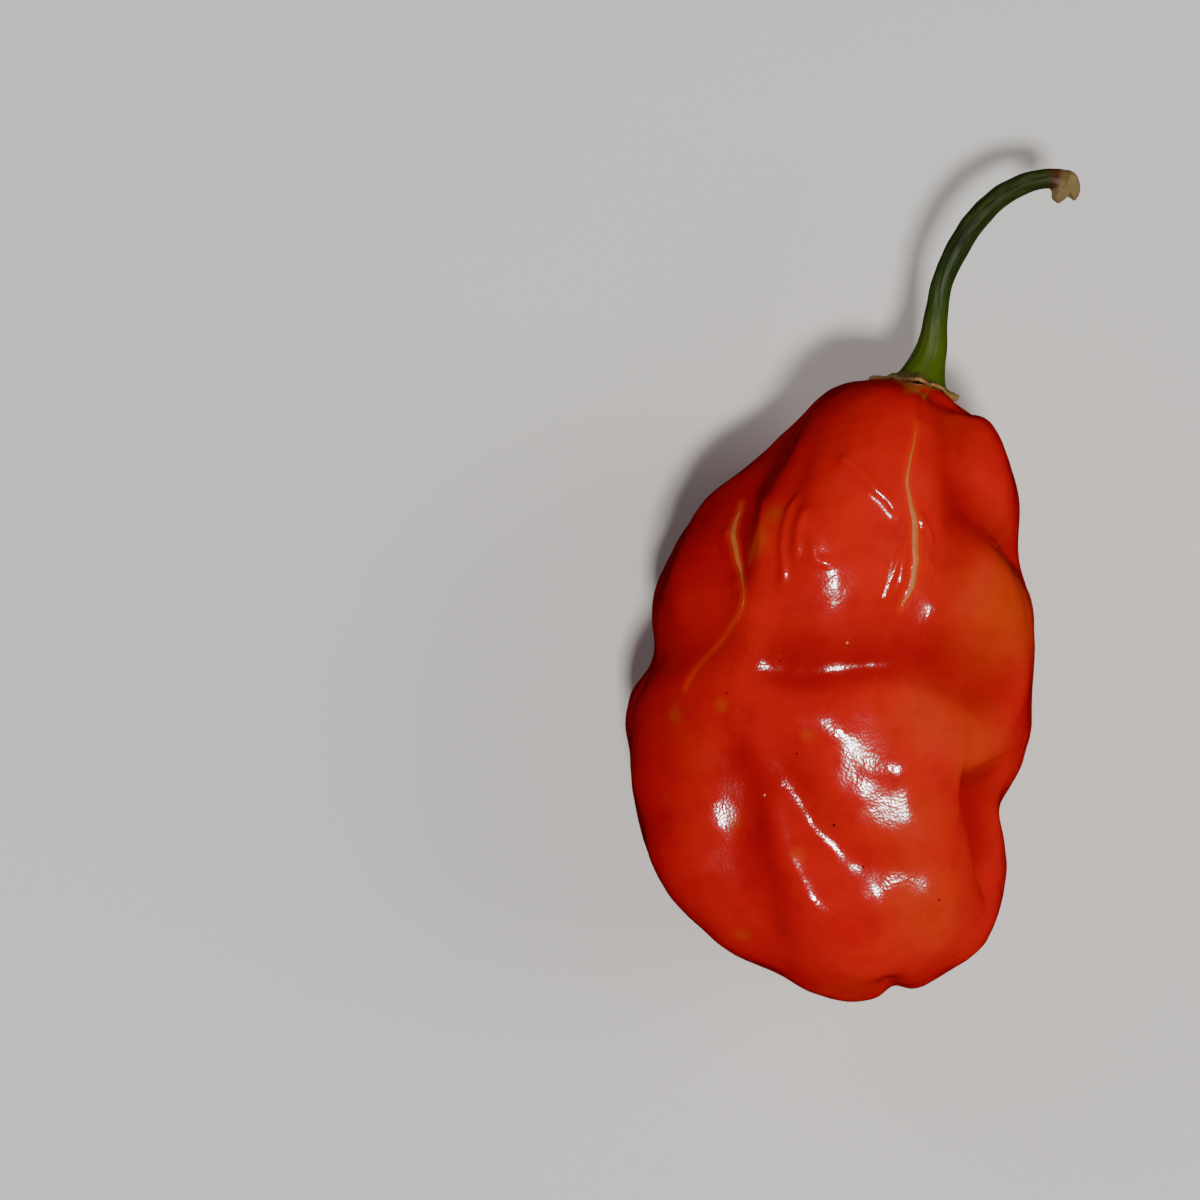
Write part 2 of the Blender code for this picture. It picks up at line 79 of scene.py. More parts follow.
# Lobes, furrows and folds: name, widths on the path's left and right (mm), height (mm),
# path of (rib number, angle in degrees from the top towards +X), sharp or soft, taper
STROKES = (
    ("crown lobe", 6.5, 6.5, 1.5, ((3.9, -14), (5.2, -9), (6.3, -7)), 0, 0),
    ("crown lobe edge", 1.6, 1.6, -0.55, ((4.2, -46), (5.3, -33), (6.3, -27), (7.2, -25)), 0, 0.3),
    ("left fold", 1.5, 1.5, 0.35, ((4.4, -58), (5.5, -41), (6.5, -32), (7.1, -30)), 0, 0.3),
    ("left furrow", 2.6, 2.4, -1.7, ((2.2, -95), (3.6, -80), (4.8, -60), (5.7, -48), (6.6, -39),
     (7.4, -35)), 0, 0.2),
    ("left lobe", 3.4, 3.4, 0.9, ((5.4, -78), (6.4, -64), (7.0, -58)), 0, 0),
    ("left waist", 3.4, 2.6, -1.2, ((8.3, -135), (8.1, -100), (8.06, -76), (7.8, -52), (7.6, -38),
     (7.7, -27)), 0, 0.15),
    ("saddle", 5.2, 2.6, -1.2, ((7.9, -38), (8.2, -23), (8.28, -10), (8.12, 3), (8.12, 13),
     (8.35, 25), (8.7, 37), (9.1, 54)), 0, 0.2),
    ("saddle lip", 1.9, 4.2, 0.2, ((8.9, -26), (8.7, -10), (8.6, 3), (8.65, 13), (8.95, 24),
     (9.4, 38), (9.7, 52)), 0, 0.25),
    ("right furrow", 2.8, 2.6, -1.3, ((1.6, 44), (2.6, 25), (3.97, 19), (4.85, 23), (5.6, 28),
     (6.4, 27), (7.2, 22)), 0, 0.2),
    ("shoulder fold", 1.6, 3.0, -1.9, ((4.2, 20), (4.9, 28), (5.4, 38), (5.75, 50), (6.1, 66),
     (6.4, 86)), 1, 0.35),
    ("right shoulder", 3.0, 3.0, 0.4, ((3.5, 44), (4.6, 50)), 0, 0),
    ("right lobe", 4.0, 4.0, 0.6, ((6.6, 44), (7.5, 48), (8.3, 50)), 0, 0),
    ("right pit", 4.2, 1.2, -2.8, ((9.5, 35.4), (9.85, 36.2), (10.15, 38.0), (10.45, 40.2),
     (10.8, 43.6), (11.19, 47.4), (11.57, 49.0), (11.98, 49.6), (12.5, 49)), 1, 0.35),
    ("right waist", 2.2, 2.2, -1.0, ((9.9, 40), (10.2, 52), (10.6, 68), (10.9, 90),
     (10.8, 125)), 0, 0.2),
    ("lower right lobe", 2.6, 2.6, 0.5, ((10.8, 62), (11.8, 58), (13.0, 50)), 0, 0),
    ("front lobe", 3.6, 3.6, 1.3, ((9.9, 17), (10.6, 24), (11.6, 29), (12.6, 24)), 0, 0),
    ("lower left furrow", 2.1, 3.4, -1.15, ((8.9, -38), (9.7, -31), (10.4, -27.5), (11.1, -26),
     (11.75, -27), (12.6, -33), (13.4, -48)), 0, 0.2),
    ("lower left lobe", 4.5, 4.5, 1.7, ((10.4, -60), (11.6, -57), (12.6, -50)), 0, 0),
    ("hollow", 3.0, 3.0, -1.3, ((9.9, -16), (10.8, -9), (11.5, 0)), 0, 0),
    ("blossom lobe", 4.6, 4.6, 1.3, ((12.2, -12), (13.2, -14)), 0, 0),
    ("nose", 3.0, 3.0, 0.5, ((14.3, -40), (15.0, -10)), 0, 0),
    ("nose notch", 1.3, 1.3, -0.9, ((15.7, 100), (15.0, 45), (14.2, 12), (13.5, 8)), 0, 0.25),
    ("calyx dip", 1.5, 1.5, -0.7, ((2.0, 75), (2.4, 48), (2.9, 30)), 0, 0.3),
    ("right side furrow", 2.6, 3.2, -1.3, ((2.2, 104), (4.4, 108), (6.6, 104), (8.2, 108),
     (10.0, 118)), 0, 0.2),
    ("right side waist", 2.4, 2.8, -1.1, ((9.7, 97), (9.5, 108), (9.2, 122), (9.0, 136)), 0, 0.3),
    ("right side lobe", 3.2, 3.2, 0.8, ((7.1, 120), (8.0, 122)), 0, 0),
    ("lower right side lobe", 3.2, 3.2, 0.9, ((11.2, 112), (12.2, 106)), 0, 0),
    ("left side furrow", 2.4, 2.8, -1.3, ((9.0, -106), (10.6, -110), (12.2, -106),
     (13.4, -100)), 0, 0.25),
    ("left side lobe", 3.2, 3.2, 0.8, ((5.8, -112), (6.8, -114)), 0, 0),
    ("upper left side furrow", 2.2, 2.6, -1.1, ((2.6, -112), (4.0, -106), (5.4, -98)), 0, 0.3),
    ("under furrow, right", 3.0, 3.0, -1.5, ((2.6, 112), (5.0, 132), (8.0, 128), (11.0, 136),
     (13.6, 120)), 0, 0.15),
    ("under furrow, left", 3.0, 3.0, -1.6, ((2.4, -118), (5.0, -140), (8.0, -152), (10.6, -146),
     (13.4, -118)), 0, 0.15),
    ("under dent", 3.4, 3.4, -1.2, ((7.4, 150), (7.8, 170), (7.3, -172)), 0, 0.2),
    ("blossom dimple", 1.6, 1.6, -1.1, ((15.6, 0), (16.0, 0), (15.6, 180)), 0, 0),
)

# Small lobes and hollows of the upper side: x, y, height (millimetres)
SMALL_WIDTH = 3.1
SMALL = (
    (-3.4, -23.8, -0.31), (0.3, -23.8, -0.17), (4.0, -23.8, 0.03), (-8.9, -20.6, -0.05),
    (-5.2, -20.6, 0.07), (-1.5, -20.6, 0.03), (2.2, -20.6, -0.03), (5.9, -20.6, -0.12),
    (-14.5, -17.4, 0.36), (-10.8, -17.4, -0.21), (-7.1, -17.4, -0.35), (-3.4, -17.4, -0.22),
    (0.3, -17.4, -0.06), (4.0, -17.4, 0.09), (7.7, -17.4, 0.23), (-16.3, -14.2, 0.75),
    (-12.6, -14.2, -0.55), (-8.9, -14.2, 0.30), (-5.2, -14.2, 0.16), (2.2, -14.2, -0.10),
    (5.9, -14.2, -0.15), (9.6, -14.2, -0.13), (-18.1, -11.0, -0.89), (-14.5, -11.0, 0.24),
    (-10.8, -11.0, -0.45), (-3.4, -11.0, -0.22), (4.0, -11.0, 0.14), (7.7, -11.0, 0.09),
    (-16.3, -7.8, -0.14), (-12.6, -7.8, -0.16), (-8.9, -7.8, -0.16), (-5.2, -7.8, -0.10),
    (-1.5, -7.8, -0.05), (2.2, -7.8, -0.35), (5.9, -7.8, -0.28), (9.6, -7.8, -0.07),
    (-18.1, -4.6, -0.03), (-14.5, -4.6, -0.23), (-10.8, -4.6, -0.21), (-7.1, -4.6, -0.12),
    (-3.4, -4.6, -0.20), (0.3, -4.6, -0.15), (4.0, -4.6, 0.08), (7.7, -4.6, -0.05),
    (11.4, -4.6, -0.07), (-16.3, -1.4, -0.09), (-12.6, -1.4, -0.14), (-8.9, -1.4, -0.27),
    (-5.2, -1.4, -0.05), (-1.5, -1.4, -0.13), (2.2, -1.4, -0.25), (5.9, -1.4, -0.09),
    (9.6, -1.4, -0.05), (-14.5, 1.8, -0.04), (-10.8, 1.8, -0.26), (-7.1, 1.8, -0.27),
    (-3.4, 1.8, -0.27), (0.3, 1.8, -0.20), (4.0, 1.8, -0.26), (7.7, 1.8, -0.37), (11.4, 1.8, 0.07),
    (-12.6, 5.0, -0.31), (-8.9, 5.0, -0.11), (2.2, 5.0, 0.24), (5.9, 5.0, 0.30), (9.6, 5.0, 0.06),
    (-10.8, 8.2, 0.37), (-7.1, 8.2, -0.07), (-3.4, 8.2, -0.12), (0.3, 8.2, -0.10),
    (4.0, 8.2, -0.78), (7.7, 8.2, 0.48), (-12.6, 11.5, 0.03), (-8.9, 11.5, 0.19),
    (-5.2, 11.5, -0.19), (-1.5, 11.5, -0.35), (2.2, 11.5, -0.12), (9.6, 11.5, 0.13),
    (-10.8, 14.7, 0.03), (-7.1, 14.7, 0.66), (-3.4, 14.7, 0.36), (0.3, 14.7, -0.52),
    (4.0, 14.7, -0.06), (7.7, 14.7, 0.18), (11.4, 14.7, 0.13), (-8.9, 17.9, 0.03),
    (-5.2, 17.9, 0.21), (-1.5, 17.9, -0.18), (-3.4, 21.1, 0.07), (0.3, 21.1, 0.35),
    (4.0, 21.1, 0.21), (7.7, 21.1, 0.06), (-1.5, 24.3, 0.04), (2.2, 24.3, 0.05), (9.6, 24.3, 0.04),
)

# Fine relief of the skin, same fields as STROKES
FINE = (
    ("edge of the crown lobe", 0.46, 0.42, 0.33,
     ((4.70, -24.2), (4.84, -17.8), (4.95, -14.0), (5.09, -9.6), (5.25, -5.2), (5.37, -1.0),
      (5.50, 2.0), (5.68, 4.8)), 0, 0.12),
    ("ripple left of the long scar", 0.26, 0.26, 0.20,
     ((5.60, 4.9), (5.82, 7.2), (5.94, 8.6), (6.12, 9.4), (6.28, 9.6), (6.48, 9.8), (6.67, 10.0),
      (6.82, 9.0), (6.96, 7.8), (7.16, 7.0)), 0, 0.1),
    ("second ripple left of it", 0.27, 0.27, 0.19,
     ((6.10, 8.0), (6.44, 7.8), (6.71, 7.0), (6.92, 6.2), (7.18, 5.2)), 0, 0.15),
    ("ripple right of the long scar", 0.30, 0.30, 0.26,
     ((5.50, 10.6), (5.71, 13.0), (5.80, 14.8), (5.94, 17.0), (6.2, 18.3)), 0, 0.2),
    ("short ripple right of it", 0.26, 0.26, 0.16, ((6.12, 16.5), (6.45, 16.8)), 0, 0.3),
    ("lower ripple right of it", 0.28, 0.28, 0.18, ((6.30, 19.0), (6.51, 18.8), (6.74, 18.2)), 0, 0.3),
    ("ripple beside the left scar", 0.28, 0.28, 0.25,
     ((5.76, -54.8), (5.98, -52.0), (6.18, -49.4), (6.35, -46.6), (6.53, -43.6), (6.73, -40.4),
      (6.92, -37.4)), 0, 0.15),
    ("pleat of the crown lobe", 0.42, 0.42, 0.28, ((5.5, -24.4), (5.91, -23.2), (6.21, -21.8),
     (6.6, -20.4)), 0, 0.3),
    ("outer pleat of the crown lobe", 0.38, 0.38, 0.31,
     ((5.25, -30.6), (5.55, -29.8), (5.98, -27.4), (6.30, -25.8), (6.62, -23.8),
     (6.95, -23.4)), 0, 0.2),
    ("pleat of the left fold", 0.42, 0.42, 0.28, ((4.5, -63), (4.91, -57.0), (5.60, -40.2),
     (6.44, -31.6)), 0, 0.2),
    ("short pleat", 0.36, 0.36, 0.16, ((6.02, -18.2), (6.39, -16.0), (6.46, -13.8),
     (6.53, -8.8)), 0, 0.3),
    ("groove down from the calyx", 0.30, 0.30, -0.14, ((1.6, 16), (2.4, 6.0), (3.22, 1.8),
     (3.92, 0.6)), 0, 0.2),
)

# Painted shade: darker red bands along the furrows and folds, where shade falls, same fields as STROKES
SHADE = (
    ("band above the waist", 5.6, 1.7, 1.0,
     ((7.9, -36), (8.25, -23), (8.35, -10), (8.2, 3), (8.2, 13), (8.4, 25), (8.7, 37),
     (9.1, 52)), 0, 0.15),
    ("fold of the right lobe", 3.4, 2.6, 0.8,
     ((2.6, 25), (3.97, 19), (4.85, 24), (5.5, 32), (5.9, 46), (6.2, 66)), 0, 0.2),
    ("lower left furrow", 2.6, 3.4, 0.6, ((9.2, -36), (10.2, -28), (11.2, -26), (12.4, -32)), 0, 0.2),
    ("beside the front lobe", 3.6, 0.9, 1.0,
     ((9.7, 36.2), (10.02, 38.0), (10.36, 39.8), (10.77, 43.2), (11.19, 47.4), (11.57, 49.0),
     (11.98, 49.6)),
     0, 0.2),
)

# Corky stretch scars: path, then half widths in millimetres spread evenly along it
SCARS = (
    (((3.85, 0.8), (4.22, 1.4), (4.65, 2.0), (5.02, 3.4), (5.25, 5.8), (5.48, 8.2), (5.71, 10.6),
      (6.16, 12.6), (6.37, 13.4), (6.59, 13.4), (6.76, 13.4), (6.94, 12.4), (7.08, 11.4), (7.22, 10.4)),
     (0.02, 0.05, 0.08, 0.12, 0.18, 0.25, 0.27, 0.25, 0.20, 0.03)),
    (((5.32, -60.4), (5.52, -56.6), (5.71, -53.8), (5.93, -50.4), (6.12, -47.0), (6.32, -44.0),
      (6.51, -41.0), (6.73, -37.6), (6.96, -34.8), (7.14, -34.0), (7.31, -34.6), (7.47, -37.2),
      (7.69, -40.4), (8.13, -46.0), (8.61, -48.4)),
     (0.02, 0.13, 0.18, 0.20, 0.17, 0.10, 0.07, 0.06, 0.06, 0.05, 0.04, 0.03, 0.01)),
)
SCAR_RISE = 0.09
SCAR_EDGE = 0.12
SCAR_GUTTER = 0.05
SCAR_GUTTER_WIDTH = 0.10

# Orange areas of the skin: broad orange patches, most of them on the right side, and small painted
# orange glints of radius 0.8 to 1.5 mm beside highlights: rib number, angle, radius (mm), strength
ORANGE_AND_GLINTS = (
    (7.2, 44, 8.5, 0.85),
    (9.4, 38, 6.5, 0.70),
    (9.0, 22, 6.0, 0.55),
    (10.6, 22, 6.0, 0.55),
    (12.0, 24, 6.5, 0.60),
    (3.4, 26, 5.5, 0.45),
    (14.1, -12, 5.0, 0.35),
    (6.14, -35.2, 1.5, 1.0),
    (5.72, -33.4, 1.1, 0.8),
    (9.04, -50.2, 0.9, 1.0),
    (8.85, -35.6, 0.8, 1.0),
    (9.31, -10.4, 1.0, 0.7),
    (10.79, -32.6, 0.9, 0.9),
    (12.62, -42.4, 0.8, 0.9),
    (11.27, -14.2, 1.2, 0.7),
    (9.6, -44, 5.0, 0.30),
)

# Small blemishes: rib number, angle, radius (mm)
DARK_SPECKS = ((9.63, -13.2, 0.10), (10.48, -12.2, 0.09), (10.77, -2.2, 0.14), (11.53, 4.6, 0.12),
               (12.01, 25.0, 0.12), (8.63, -34.4, 0.10), (7.97, -21.8, 0.08), (8.12, -21.4, 0.08))
PALE_SPECKS = ((7.78, -3.4, 0.11), (10.30, -22.4, 0.12), (10.68, -9.2, 0.13), (10.93, -7.2, 0.11))

# Irregular undulation of the skin: extra height on the top, on the sides, and of the two finer kinds
UNEVEN_TOP = 0.03
UNEVEN_SIDE = 0.13
UNEVEN_SMALL = 0.022
UNEVEN_FINE = 0.006

POD_AROUND_FINE = 384
POD_ALONG_FINE = 252


def smooth_path(points, n=7):
    """Catmull-Rom curve through the points, n samples to each span."""
    p = np.array(points, float)
    p = np.vstack([2 * p[0] - p[1], p, 2 * p[-1] - p[-2]])
    u = np.linspace(0, 1, n, endpoint=False)[:, None]
    out = []
    for a, b, c, d in zip(p[:-3], p[1:-2], p[2:-1], p[3:]):
        out.append(0.5 * (2 * b + (c - a) * u + (2 * a - 5 * b + 4 * c - d) * u**2
                          + (3 * b - a - 3 * c + d) * u**3))
    return np.vstack(out + [p[-2:-1]])


def bspline(rows, t):
    i = np.clip(np.floor(t).astype(int), 0, len(rows) - 4)
    f = (t - i)[:, None]
    a, b, c, d = (rows[i + k] for k in range(4))
    return ((1 - f)**3 * a + (3 * f**3 - 6 * f**2 + 4) * b
            + (-3 * f**3 + 3 * f**2 + 3 * f + 1) * c + f**3 * d) / 6


def ribs_at(t):
    r = np.array(RIBS, float)
    mid = (r[:, 4] + r[:, 5]) / 2
    left = np.column_stack([r[:, 0], r[:, 1], mid])
    right = np.column_stack([r[:, 2], r[:, 3], mid])
    rows = np.column_stack([(left + right) / 2, (right - left) / 2, (r[:, 4] - r[:, 5]) / 2])
    even = np.array([1, 1, 1, -1, -1, -1, -1])
    rows = np.vstack([rows[1] * even, rows, rows[-2] * even])
    v = bspline(rows, t)
    return v[:, :3], v[:, 3:6], v[:, 6]


def base(t, angle):
    """Smooth body: grid of points, rows along the pod and columns around it."""
    centre, half, height = ribs_at(t)
    s, c = np.sin(angle), np.cos(angle)
    r = (np.abs(s)**SQUARENESS + np.abs(c)**SQUARENESS)**(-1 / SQUARENESS)
    p = centre[:, None, :] + half[:, None, :] * (s * r)[None, :, None]
    p[..., 2] += height[:, None] * (c * r)[None, :]
    return p


def normals(grid):
    along = np.gradient(grid, axis=0)
    around = np.roll(grid, -1, 1) - np.roll(grid, 1, 1)
    n = np.cross(along, around)
    n[0], n[-1] = n[1].mean(0), n[-2].mean(0)
    return n / np.linalg.norm(n, axis=-1, keepdims=True)


def point_on(t, angle):
    return base(np.array([float(t)]), np.radians([angle]))[0, 0]


def along_path(path, points, normal):
    """Distance from a path, share of its length there, and whether the point is on its right."""
    seg = path[1:] - path[:-1]
    length = np.linalg.norm(seg, axis=1)
    start = np.concatenate([[0], np.cumsum(length)])
    best = np.full(len(points), 1e9)
    where = np.zeros(len(points))
    right = np.zeros(len(points), bool)
    for k in range(len(seg)):
        v = points - path[k]
        u = np.clip(v @ seg[k] / max(length[k]**2, 1e-9), 0, 1)
        d = np.linalg.norm(v - u[:, None] * seg[k], axis=1)
        near = d < best
        best[near] = d[near]
        where[near] = (start[k] + u[near] * length[k]) / start[-1]
        right[near] = np.einsum("ij,ij->i", np.cross(seg[k], normal[near]), v[near]) > 0
    return best, where, right


def relief(points, normal, strokes=STROKES):
    total = np.zeros(len(points))
    for _, wide_left, wide_right, height, stations, sharp, taper in strokes:
        path = smooth_path([point_on(*s) for s in stations])
        mid = path.mean(0)
        reach = np.linalg.norm(path - mid, axis=1).max() + 3 * max(wide_left, wide_right)
        near = np.linalg.norm(points - mid, axis=1) < reach
        d, u, right = along_path(path, points[near], normal[near])
        q = d / np.where(right, wide_right, wide_left)
        f = np.exp(0.45 - 1.5 * np.sqrt(q * q + 0.09)) if sharp else np.exp(-q * q)
        if taper:
            e = np.clip(np.minimum(u, 1 - u) / taper, 0, 1)
            f = f * (e * e * (3 - 2 * e))
        total[near] += height * f
    return total


def small_lobes(points, normal):
    total = np.zeros(len(points))
    for x, y, height in SMALL:
        total += height * np.exp(-((points[:, 0] - x)**2 + (points[:, 1] - y)**2) / SMALL_WIDTH**2)
    up = np.clip((normal[:, 2] - 0.05) / 0.5, 0, 1)
    return total * up * up * (3 - 2 * up)


def surface(t, angle):
    grid = base(t, angle)
    n = normals(grid)
    points, normal = grid.reshape(-1, 3), n.reshape(-1, 3)
    h = (relief(points, normal) + small_lobes(points, normal)).reshape(grid.shape[:2])
    h[0], h[-1] = h[1].mean(), h[-2].mean()
    p = grid + n * h[..., None]
    p[..., 2] = np.maximum(p[..., 2], 0)
    return p


def pod_grid():
    """Rings are closer together towards the two ends, where the pod turns over."""
    share = (1 - np.cos(np.linspace(0, math.pi, POD_ALONG + 1))) / 2
    share = 0.55 * share + 0.45 * np.linspace(0, 1, POD_ALONG + 1)
    angle = np.linspace(0, 2 * math.pi, POD_AROUND, endpoint=False)
    return surface(share * (len(RIBS) - 1), angle)


def calyx_axes():
    tilt = math.radians(CALYX_TILT)
    axis = np.array([math.sin(tilt), math.cos(tilt), 0.0])
    side = np.array([math.cos(tilt), -math.sin(tilt), 0.0])
    return axis, side, np.array([0.0, 0.0, 1.0])


def even_by(density, low, high, count, samples=4000):
    """count values from low to high, closer together where density is higher."""
    x = np.linspace(low, high, samples)
    total = np.concatenate([[0], np.cumsum((density(x[1:]) + density(x[:-1])) / 2)])
    return np.interp(np.linspace(0, total[-1], count), total, x)


def waves(points, wavelength, count, seed):
    """Smooth irregular undulation of unit size: plane waves in random directions."""
    rng = np.random.default_rng(seed)
    turn = rng.normal(size=(count, 3))
    turn /= np.linalg.norm(turn, axis=1, keepdims=True)
    length = wavelength * rng.uniform(0.7, 1.4, count)
    phase = rng.uniform(0, 2 * math.pi, count)
    total = np.zeros(len(points))
    for k in range(count):
        total += np.cos(points @ turn[k] * (2 * math.pi / length[k]) + phase[k])
    return total * math.sqrt(2 / count)


def smooth(x):
    x = np.clip(x, 0, 1)
    return x * x * (3 - 2 * x)


def scar_field(points, normal):
    """For each point: distance outside the nearest scar's edge, and distance from its middle line."""
    edge = np.full(len(points), 5.0)
    middle = np.full(len(points), 5.0)
    for stations, half in SCARS:
        path = smooth_path([point_on(*s) for s in stations])
        mid = path.mean(0)
        near = np.linalg.norm(points - mid, axis=1) < np.linalg.norm(path - mid, axis=1).max() + 5
        d, u, _ = along_path(path, points[near], normal[near])
        wide = np.interp(u, np.linspace(0, 1, len(half)), half)
        outside = d - wide
        better = outside < edge[near]
        index = np.nonzero(near)[0][better]
        edge[index] = outside[better]
        middle[index] = d[better]
    return edge, middle


def build_mesh(name, grid, attributes=()):
    """A closed body from rings of points; the first and last ring close to a point."""
    rings = grid[1:-1]
    count, around = rings.shape[:2]
    points = np.vstack([grid[0].mean(0)[None], rings.reshape(-1, 3), grid[-1].mean(0)[None]])
    last = len(points) - 1
    ring = 1 + np.arange(count * around).reshape(count, around)
    step = np.roll(ring, -1, axis=1)
    quads = np.stack([ring[:-1], step[:-1], step[1:], ring[1:]], -1).reshape(-1, 4)
    faces = [(0, int(b), int(a)) for a, b in zip(ring[0], step[0])]
    faces += quads.tolist()
    faces += [(last, int(a), int(b)) for a, b in zip(ring[-1], step[-1])]
    mesh = bpy.data.meshes.new(name)
    mesh.from_pydata(points.tolist(), [], faces)
    mesh.update()
    first, second, third = (points[quads[:, k]] for k in range(3))
    volume = np.einsum("ij,ij->i", first, np.cross(second, third)).sum()
    if volume < 0:
        mesh.flip_normals()
    mesh.shade_smooth()
    for label, values in attributes:
        values = np.asarray(values, float)
        flat = np.concatenate([[values[0].mean()], values[1:-1].ravel(), [values[-1].mean()]])
        layer = mesh.attributes.new(label, "FLOAT", "POINT")
        layer.data.foreach_set("value", flat.astype(np.float32))
    thing = bpy.data.objects.new(name, mesh)
    bpy.context.scene.collection.objects.link(thing)
    return thing


class Nodes:
    """Short-hand for building a material's node tree."""

    def __init__(self, name):
        self.material = bpy.data.materials.new(name)
        self.material.use_nodes = True
        self.tree = self.material.node_tree
        self.shader = self.tree.nodes["Principled BSDF"]
        self.place = self.add("ShaderNodeTexCoord").outputs["Object"]

    def add(self, kind, **settings):
        node = self.tree.nodes.new(kind)
        for key, value in settings.items():
            setattr(node, key, value)
        return node

    def plug(self, value, socket):
        if isinstance(value, bpy.types.NodeSocket):
            self.tree.links.new(value, socket)
        else:
            socket.default_value = value

    def math(self, operation, a, b=0.0, clamp=False):
        node = self.add("ShaderNodeMath", operation=operation, use_clamp=clamp)
        self.plug(a, node.inputs[0])
        self.plug(b, node.inputs[1])
        return node.outputs[0]

    def ramp(self, value, low, high, to_low=0.0, to_high=1.0):
        node = self.add("ShaderNodeMapRange", interpolation_type="SMOOTHSTEP")
        for socket, given in zip(node.inputs, (value, low, high, to_low, to_high)):
            self.plug(given, socket)
        return node.outputs[0]

    def mix(self, share, a, b, blend="MIX"):
        node = self.add("ShaderNodeMix", data_type="RGBA", blend_type=blend)
        self.plug(share, node.inputs[0])
        self.plug(a, node.inputs[6])
        self.plug(b, node.inputs[7])
        return node.outputs[2]

    def attribute(self, name):
        return self.add("ShaderNodeAttribute", attribute_name=name).outputs["Fac"]

    def scaled(self, x, y, z):
        node = self.add("ShaderNodeVectorMath", operation="MULTIPLY")
        self.plug(self.place, node.inputs[0])
        node.inputs[1].default_value = (x, y, z)
        return node.outputs[0]

    def noise(self, scale, detail=2.0, rough=0.5, distortion=0.0, vector=None):
        node = self.add("ShaderNodeTexNoise")
        self.plug(vector or self.place, node.inputs["Vector"])
        node.inputs["Scale"].default_value = scale
        node.inputs["Detail"].default_value = detail
        node.inputs["Roughness"].default_value = rough
        node.inputs["Distortion"].default_value = distortion
        return node.outputs["Fac"]

    def cells(self, scale, feature="F1", vector=None):
        node = self.add("ShaderNodeTexVoronoi", feature=feature)
        self.plug(vector or self.place, node.inputs["Vector"])
        node.inputs["Scale"].default_value = scale
        return node.outputs["Distance"]

    def bump(self, height, strength, distance, normal=None):
        node = self.add("ShaderNodeBump")
        self.plug(height, node.inputs["Height"])
        node.inputs["Strength"].default_value = strength
        node.inputs["Distance"].default_value = distance
        if normal is not None:
            self.plug(normal, node.inputs["Normal"])
        return node.outputs["Normal"]

    def set(self, **values):
        for key, value in values.items():
            self.plug(value, self.shader.inputs[key.replace("_", " ")])


def colour(red, green, blue):
    """Linear colour from 8-bit sRGB values."""
    def line(v):
        v /= 255
        return v / 12.92 if v <= 0.04045 else ((v + 0.055) / 1.055)**2.4
    return (line(red), line(green), line(blue), 1.0)


# ---- pod ------------------------------------------------------------------------------------

def fine_pod():
    # finer at both ends, over the crown lobe and along the top
    t = even_by(lambda x: 1 + 0.5 * np.exp(-((x - 6) / 2.2)**2) + 0.9 * np.exp(-(x / 1.2)**2)
                + 0.9 * np.exp(-((x - 16) / 1.2)**2), 0, len(RIBS) - 1, POD_ALONG_FINE)
    angle = even_by(lambda x: 1 + 1.1 * np.exp(-((x + 0.25) / 0.85)**2),
                    -math.pi, math.pi, POD_AROUND_FINE + 1)[:-1]
    grid = base(t, angle)
    n = normals(grid)
    points, normal = grid.reshape(-1, 3), n.reshape(-1, 3)
    broad = relief(points, normal)
    lobes = small_lobes(points, normal)
    fine = relief(points, normal, FINE)
    shade = relief(points, normal, SHADE)
    edge, middle = scar_field(points, normal)
    gutter = np.exp(-((edge - SCAR_GUTTER_WIDTH) / SCAR_GUTTER_WIDTH)**2)
    fine += SCAR_RISE * smooth(-edge / SCAR_EDGE) - SCAR_GUTTER * gutter
    side = 1 - smooth(normal[:, 2] / 0.6)
    soft = (UNEVEN_TOP + UNEVEN_SIDE * side) * waves(points, 9.0, 24, 3)
    soft += UNEVEN_SMALL * waves(points, 3.4, 36, 5)
    soft += UNEVEN_FINE * waves(points, 1.5, 48, 7)
    height = (broad + lobes + fine + soft).reshape(grid.shape[:2])
    height[0], height[-1] = height[1].mean(), height[-2].mean()
    p = grid + n * height[..., None]
    # round off the edge of the flat that the pod rests on
    floor = np.maximum(p[..., 2], 0)
    p[..., 2] = np.where(p[..., 2] < 0.6, 0.5 * (floor + np.sqrt(floor**2 + 0.02)) - 0.07, p[..., 2])
    p[..., 2] = np.maximum(p[..., 2], 0)
    # orange skin colour, with small painted orange glints beside highlights
    orange = np.zeros(len(points))
    for station, degrees, radius, strength in ORANGE_AND_GLINTS:
        d = np.linalg.norm(points - point_on(station, degrees), axis=1)
        orange = np.maximum(orange, strength * np.exp(-(d / radius)**2))
    shape = grid.shape[:2]
    # fold and shade below drive painted shade in the skin's colour; orange holds orange skin and
    # painted glints
    fields = (
        ("fold", broad.reshape(shape)),
        ("scar_edge", np.clip(edge, -1, 3).reshape(shape)),
        ("orange", orange.reshape(shape)),
        ("shade", shade.reshape(shape)),
        ("along", np.repeat(t[:, None] / (len(RIBS) - 1), shape[1], axis=1)),
        ("ring_x", np.repeat(np.sin(angle)[None], shape[0], axis=0)),
        ("ring_y", np.repeat(np.cos(angle)[None], shape[0], axis=0)),
    )
    return p, fields, p.reshape(-1, 3), points


